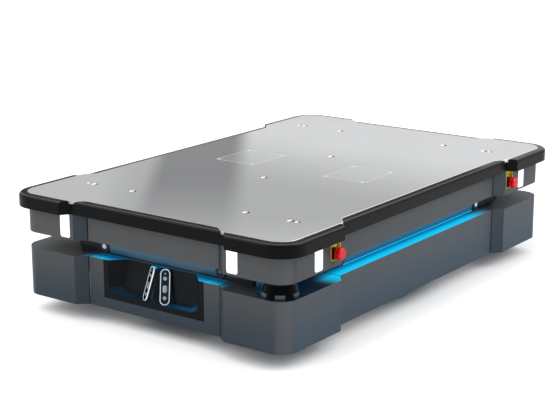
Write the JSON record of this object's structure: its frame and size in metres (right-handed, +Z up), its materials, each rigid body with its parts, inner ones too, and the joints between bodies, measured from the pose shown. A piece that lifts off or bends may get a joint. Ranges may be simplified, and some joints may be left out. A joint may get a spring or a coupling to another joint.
{
  "type": "automated guided vehicle",
  "caption": "Low flat-deck automated guided vehicle with stepped grey covers, black bumpers, a lit scanner slot, depth cameras and swivel casters.",
  "frame": {"origin": "on the floor under the middle of the vehicle", "axes": "+X forward, towards the end with the camera recess; +Y left; +Z up"},
  "size_m": [1.35, 0.9, 0.322],
  "materials": {
    "deck_metal": "satin rolled plate",
    "hatch_metal": "satin",
    "screw_steel": "bright",
    "bumper_rubber": "satin",
    "cover_grey": "fine satin",
    "light_diffuser": "frosted, lit blue",
    "sensor_black": "satin",
    "sensor_lens": "clear domed lens",
    "signal_white": "frosted white lens",
    "recess_black": "fine moulded grain",
    "camera_metal": "anodised",
    "camera_glass": "dark window",
    "scanner_body": "satin",
    "scanner_window": "polished dark window",
    "bracket_zinc": "zinc plated",
    "scanner_mirror": "polished",
    "stop_yellow": "moulded",
    "stop_black": "moulded",
    "stop_red": "moulded",
    "button_green": "moulded",
    "button_blue": "moulded",
    "frame_black": "powder coat",
    "core_black": "powder coat",
    "pan_zinc": "zinc plated sheet",
    "battery_case": "moulded",
    "controller_alloy": "anodised",
    "motor_alloy": "machined",
    "pin_steel": "ground",
    "hub_alloy": "cast",
    "tyre_teal": "polyurethane tread",
    "caster_zinc": "zinc plated",
    "caster_tread": "polyurethane wheel"
  },
  "bodies": {
    "chassis": {"battery_pack": "battery_case", "belly_pan": "pan_zinc", "bogie_pins": "pin_steel", "camera_recess": "recess_black", "camera_windows": "camera_glass", "chassis_frame": "frame_black", "control_panel": "sensor_black", "core_walls": "core_black", "corner_bumpers": "bumper_rubber", "deck_frame": "frame_black", "depth_cameras": "camera_metal", "drive_controller": "controller_alloy", "hatch_covers": "hatch_metal", "hatch_screws": "screw_steel", "light_bars": "light_diffuser", "lower_corner_covers": "cover_grey", "lower_front_panel": "cover_grey", "lower_rear_panel": "cover_grey", "lower_side_panels": "cover_grey", "proximity_lenses": "sensor_lens", "proximity_sensors": "sensor_black", "scanner_bases": "scanner_body", "scanner_brackets": "bracket_zinc", "scanner_windows": "scanner_window", "signal_lights": "signal_white", "stop_collars": "stop_black", "stop_pockets": "stop_yellow", "straight_bumpers": "bumper_rubber", "top_plate": "deck_metal", "upper_corner_covers": "cover_grey", "upper_panels": "cover_grey"},
    "bogie_left": {"bogie_arm_left": "frame_black", "gearmotor_left": "motor_alloy"},
    "drive_wheel_left": {"drive_hub_left": "hub_alloy", "drive_tyre_left": "tyre_teal"},
    "bogie_right": {"bogie_arm_right": "frame_black", "gearmotor_right": "motor_alloy"},
    "drive_wheel_right": {"drive_hub_right": "hub_alloy", "drive_tyre_right": "tyre_teal"},
    "caster_fork_front_left": {"caster_fork_front_left": "caster_zinc"},
    "caster_wheel_front_left": {"caster_wheel_front_left": "caster_tread"},
    "caster_fork_front_right": {"caster_fork_front_right": "caster_zinc"},
    "caster_wheel_front_right": {"caster_wheel_front_right": "caster_tread"},
    "caster_fork_rear_left": {"caster_fork_rear_left": "caster_zinc"},
    "caster_wheel_rear_left": {"caster_wheel_rear_left": "caster_tread"},
    "caster_fork_rear_right": {"caster_fork_rear_right": "caster_zinc"},
    "caster_wheel_rear_right": {"caster_wheel_rear_right": "caster_tread"},
    "stop_stem_front_left": {"stop_stem_front_left": "stop_black"},
    "stop_head_front_left": {"stop_head_front_left": "stop_red"},
    "stop_stem_front_right": {"stop_stem_front_right": "stop_black"},
    "stop_head_front_right": {"stop_head_front_right": "stop_red"},
    "stop_stem_rear_left": {"stop_stem_rear_left": "stop_black"},
    "stop_head_rear_left": {"stop_head_rear_left": "stop_red"},
    "stop_stem_rear_right": {"stop_stem_rear_right": "stop_black"},
    "stop_head_rear_right": {"stop_head_rear_right": "stop_red"},
    "mirror_front": {"scanner_mirror_front": "scanner_mirror"},
    "mirror_rear": {"scanner_mirror_rear": "scanner_mirror"},
    "start_button": {"start_button": "button_green"},
    "reset_button": {"reset_button": "button_blue"},
    "mode_selector": {"mode_selector": "stop_black"}
  },
  "joints": [
    {"name": "bogie_rock_left", "type": "hinge", "parent": "chassis", "child": "bogie_left", "pos_m": [0.16, 0.258, 0.125], "axis": [0, 1, 0], "range_deg": [-3, 3]},
    {"name": "drive_spin_left", "type": "hinge", "parent": "bogie_left", "child": "drive_wheel_left", "pos_m": [-0.02, 0.301, 0.1], "axis": [0, 1, 0], "continuous": true},
    {"name": "bogie_rock_right", "type": "hinge", "parent": "chassis", "child": "bogie_right", "pos_m": [0.16, -0.258, 0.125], "axis": [0, 1, 0], "range_deg": [-3, 3]},
    {"name": "drive_spin_right", "type": "hinge", "parent": "bogie_right", "child": "drive_wheel_right", "pos_m": [-0.02, -0.301, 0.1], "axis": [0, 1, 0], "continuous": true},
    {"name": "caster_swivel_front_left", "type": "hinge", "parent": "bogie_left", "child": "caster_fork_front_left", "pos_m": [0.48, 0.28, 0.145], "axis": [0, 0, 1], "continuous": true},
    {"name": "caster_roll_front_left", "type": "hinge", "parent": "caster_fork_front_left", "child": "caster_wheel_front_left", "pos_m": [0.435, 0.28, 0.0625], "axis": [0, 1, 0], "continuous": true},
    {"name": "caster_swivel_front_right", "type": "hinge", "parent": "bogie_right", "child": "caster_fork_front_right", "pos_m": [0.48, -0.28, 0.145], "axis": [0, 0, 1], "continuous": true},
    {"name": "caster_roll_front_right", "type": "hinge", "parent": "caster_fork_front_right", "child": "caster_wheel_front_right", "pos_m": [0.435, -0.28, 0.0625], "axis": [0, 1, 0], "continuous": true},
    {"name": "caster_swivel_rear_left", "type": "hinge", "parent": "chassis", "child": "caster_fork_rear_left", "pos_m": [-0.48, 0.28, 0.145], "axis": [0, 0, 1], "continuous": true},
    {"name": "caster_roll_rear_left", "type": "hinge", "parent": "caster_fork_rear_left", "child": "caster_wheel_rear_left", "pos_m": [-0.525, 0.28, 0.0625], "axis": [0, 1, 0], "continuous": true},
    {"name": "caster_swivel_rear_right", "type": "hinge", "parent": "chassis", "child": "caster_fork_rear_right", "pos_m": [-0.48, -0.28, 0.145], "axis": [0, 0, 1], "continuous": true},
    {"name": "caster_roll_rear_right", "type": "hinge", "parent": "caster_fork_rear_right", "child": "caster_wheel_rear_right", "pos_m": [-0.525, -0.28, 0.0625], "axis": [0, 1, 0], "continuous": true},
    {"name": "stop_press_front_left", "type": "slide", "parent": "chassis", "child": "stop_stem_front_left", "axis": [0, -1, 0], "range_m": [0, 0.004]},
    {"name": "stop_twist_front_left", "type": "hinge", "parent": "stop_stem_front_left", "child": "stop_head_front_left", "pos_m": [0.446, 0.439, 0.251], "axis": [0, 1, 0], "range_deg": [0, 45], "stiffness_Nm_per_rad": 0.05},
    {"name": "stop_press_front_right", "type": "slide", "parent": "chassis", "child": "stop_stem_front_right", "axis": [0, 1, 0], "range_m": [0, 0.004]},
    {"name": "stop_twist_front_right", "type": "hinge", "parent": "stop_stem_front_right", "child": "stop_head_front_right", "pos_m": [0.446, -0.439, 0.251], "axis": [0, -1, 0], "range_deg": [0, 45], "stiffness_Nm_per_rad": 0.05},
    {"name": "stop_press_rear_left", "type": "slide", "parent": "chassis", "child": "stop_stem_rear_left", "axis": [0, -1, 0], "range_m": [0, 0.004]},
    {"name": "stop_twist_rear_left", "type": "hinge", "parent": "stop_stem_rear_left", "child": "stop_head_rear_left", "pos_m": [-0.446, 0.439, 0.251], "axis": [0, 1, 0], "range_deg": [0, 45], "stiffness_Nm_per_rad": 0.05},
    {"name": "stop_press_rear_right", "type": "slide", "parent": "chassis", "child": "stop_stem_rear_right", "axis": [0, 1, 0], "range_m": [0, 0.004]},
    {"name": "stop_twist_rear_right", "type": "hinge", "parent": "stop_stem_rear_right", "child": "stop_head_rear_right", "pos_m": [-0.446, -0.439, 0.251], "axis": [0, -1, 0], "range_deg": [0, 45], "stiffness_Nm_per_rad": 0.05},
    {"name": "mirror_spin_front", "type": "hinge", "parent": "chassis", "child": "mirror_front", "pos_m": [0.594, 0.369, 0.187], "axis": [0, 0, 1], "continuous": true},
    {"name": "mirror_spin_rear", "type": "hinge", "parent": "chassis", "child": "mirror_rear", "pos_m": [-0.594, -0.369, 0.187], "axis": [0, 0, 1], "continuous": true},
    {"name": "start_press", "type": "slide", "parent": "chassis", "child": "start_button", "axis": [1, 0, 0], "range_m": [0, 0.003], "stiffness_N_per_m": 400},
    {"name": "reset_press", "type": "slide", "parent": "chassis", "child": "reset_button", "axis": [1, 0, 0], "range_m": [0, 0.003], "stiffness_N_per_m": 400},
    {"name": "mode_turn", "type": "hinge", "parent": "chassis", "child": "mode_selector", "pos_m": [-0.652, 0.379, 0.23], "axis": [1, 0, 0], "range_deg": [-45, 45]}
  ]
}
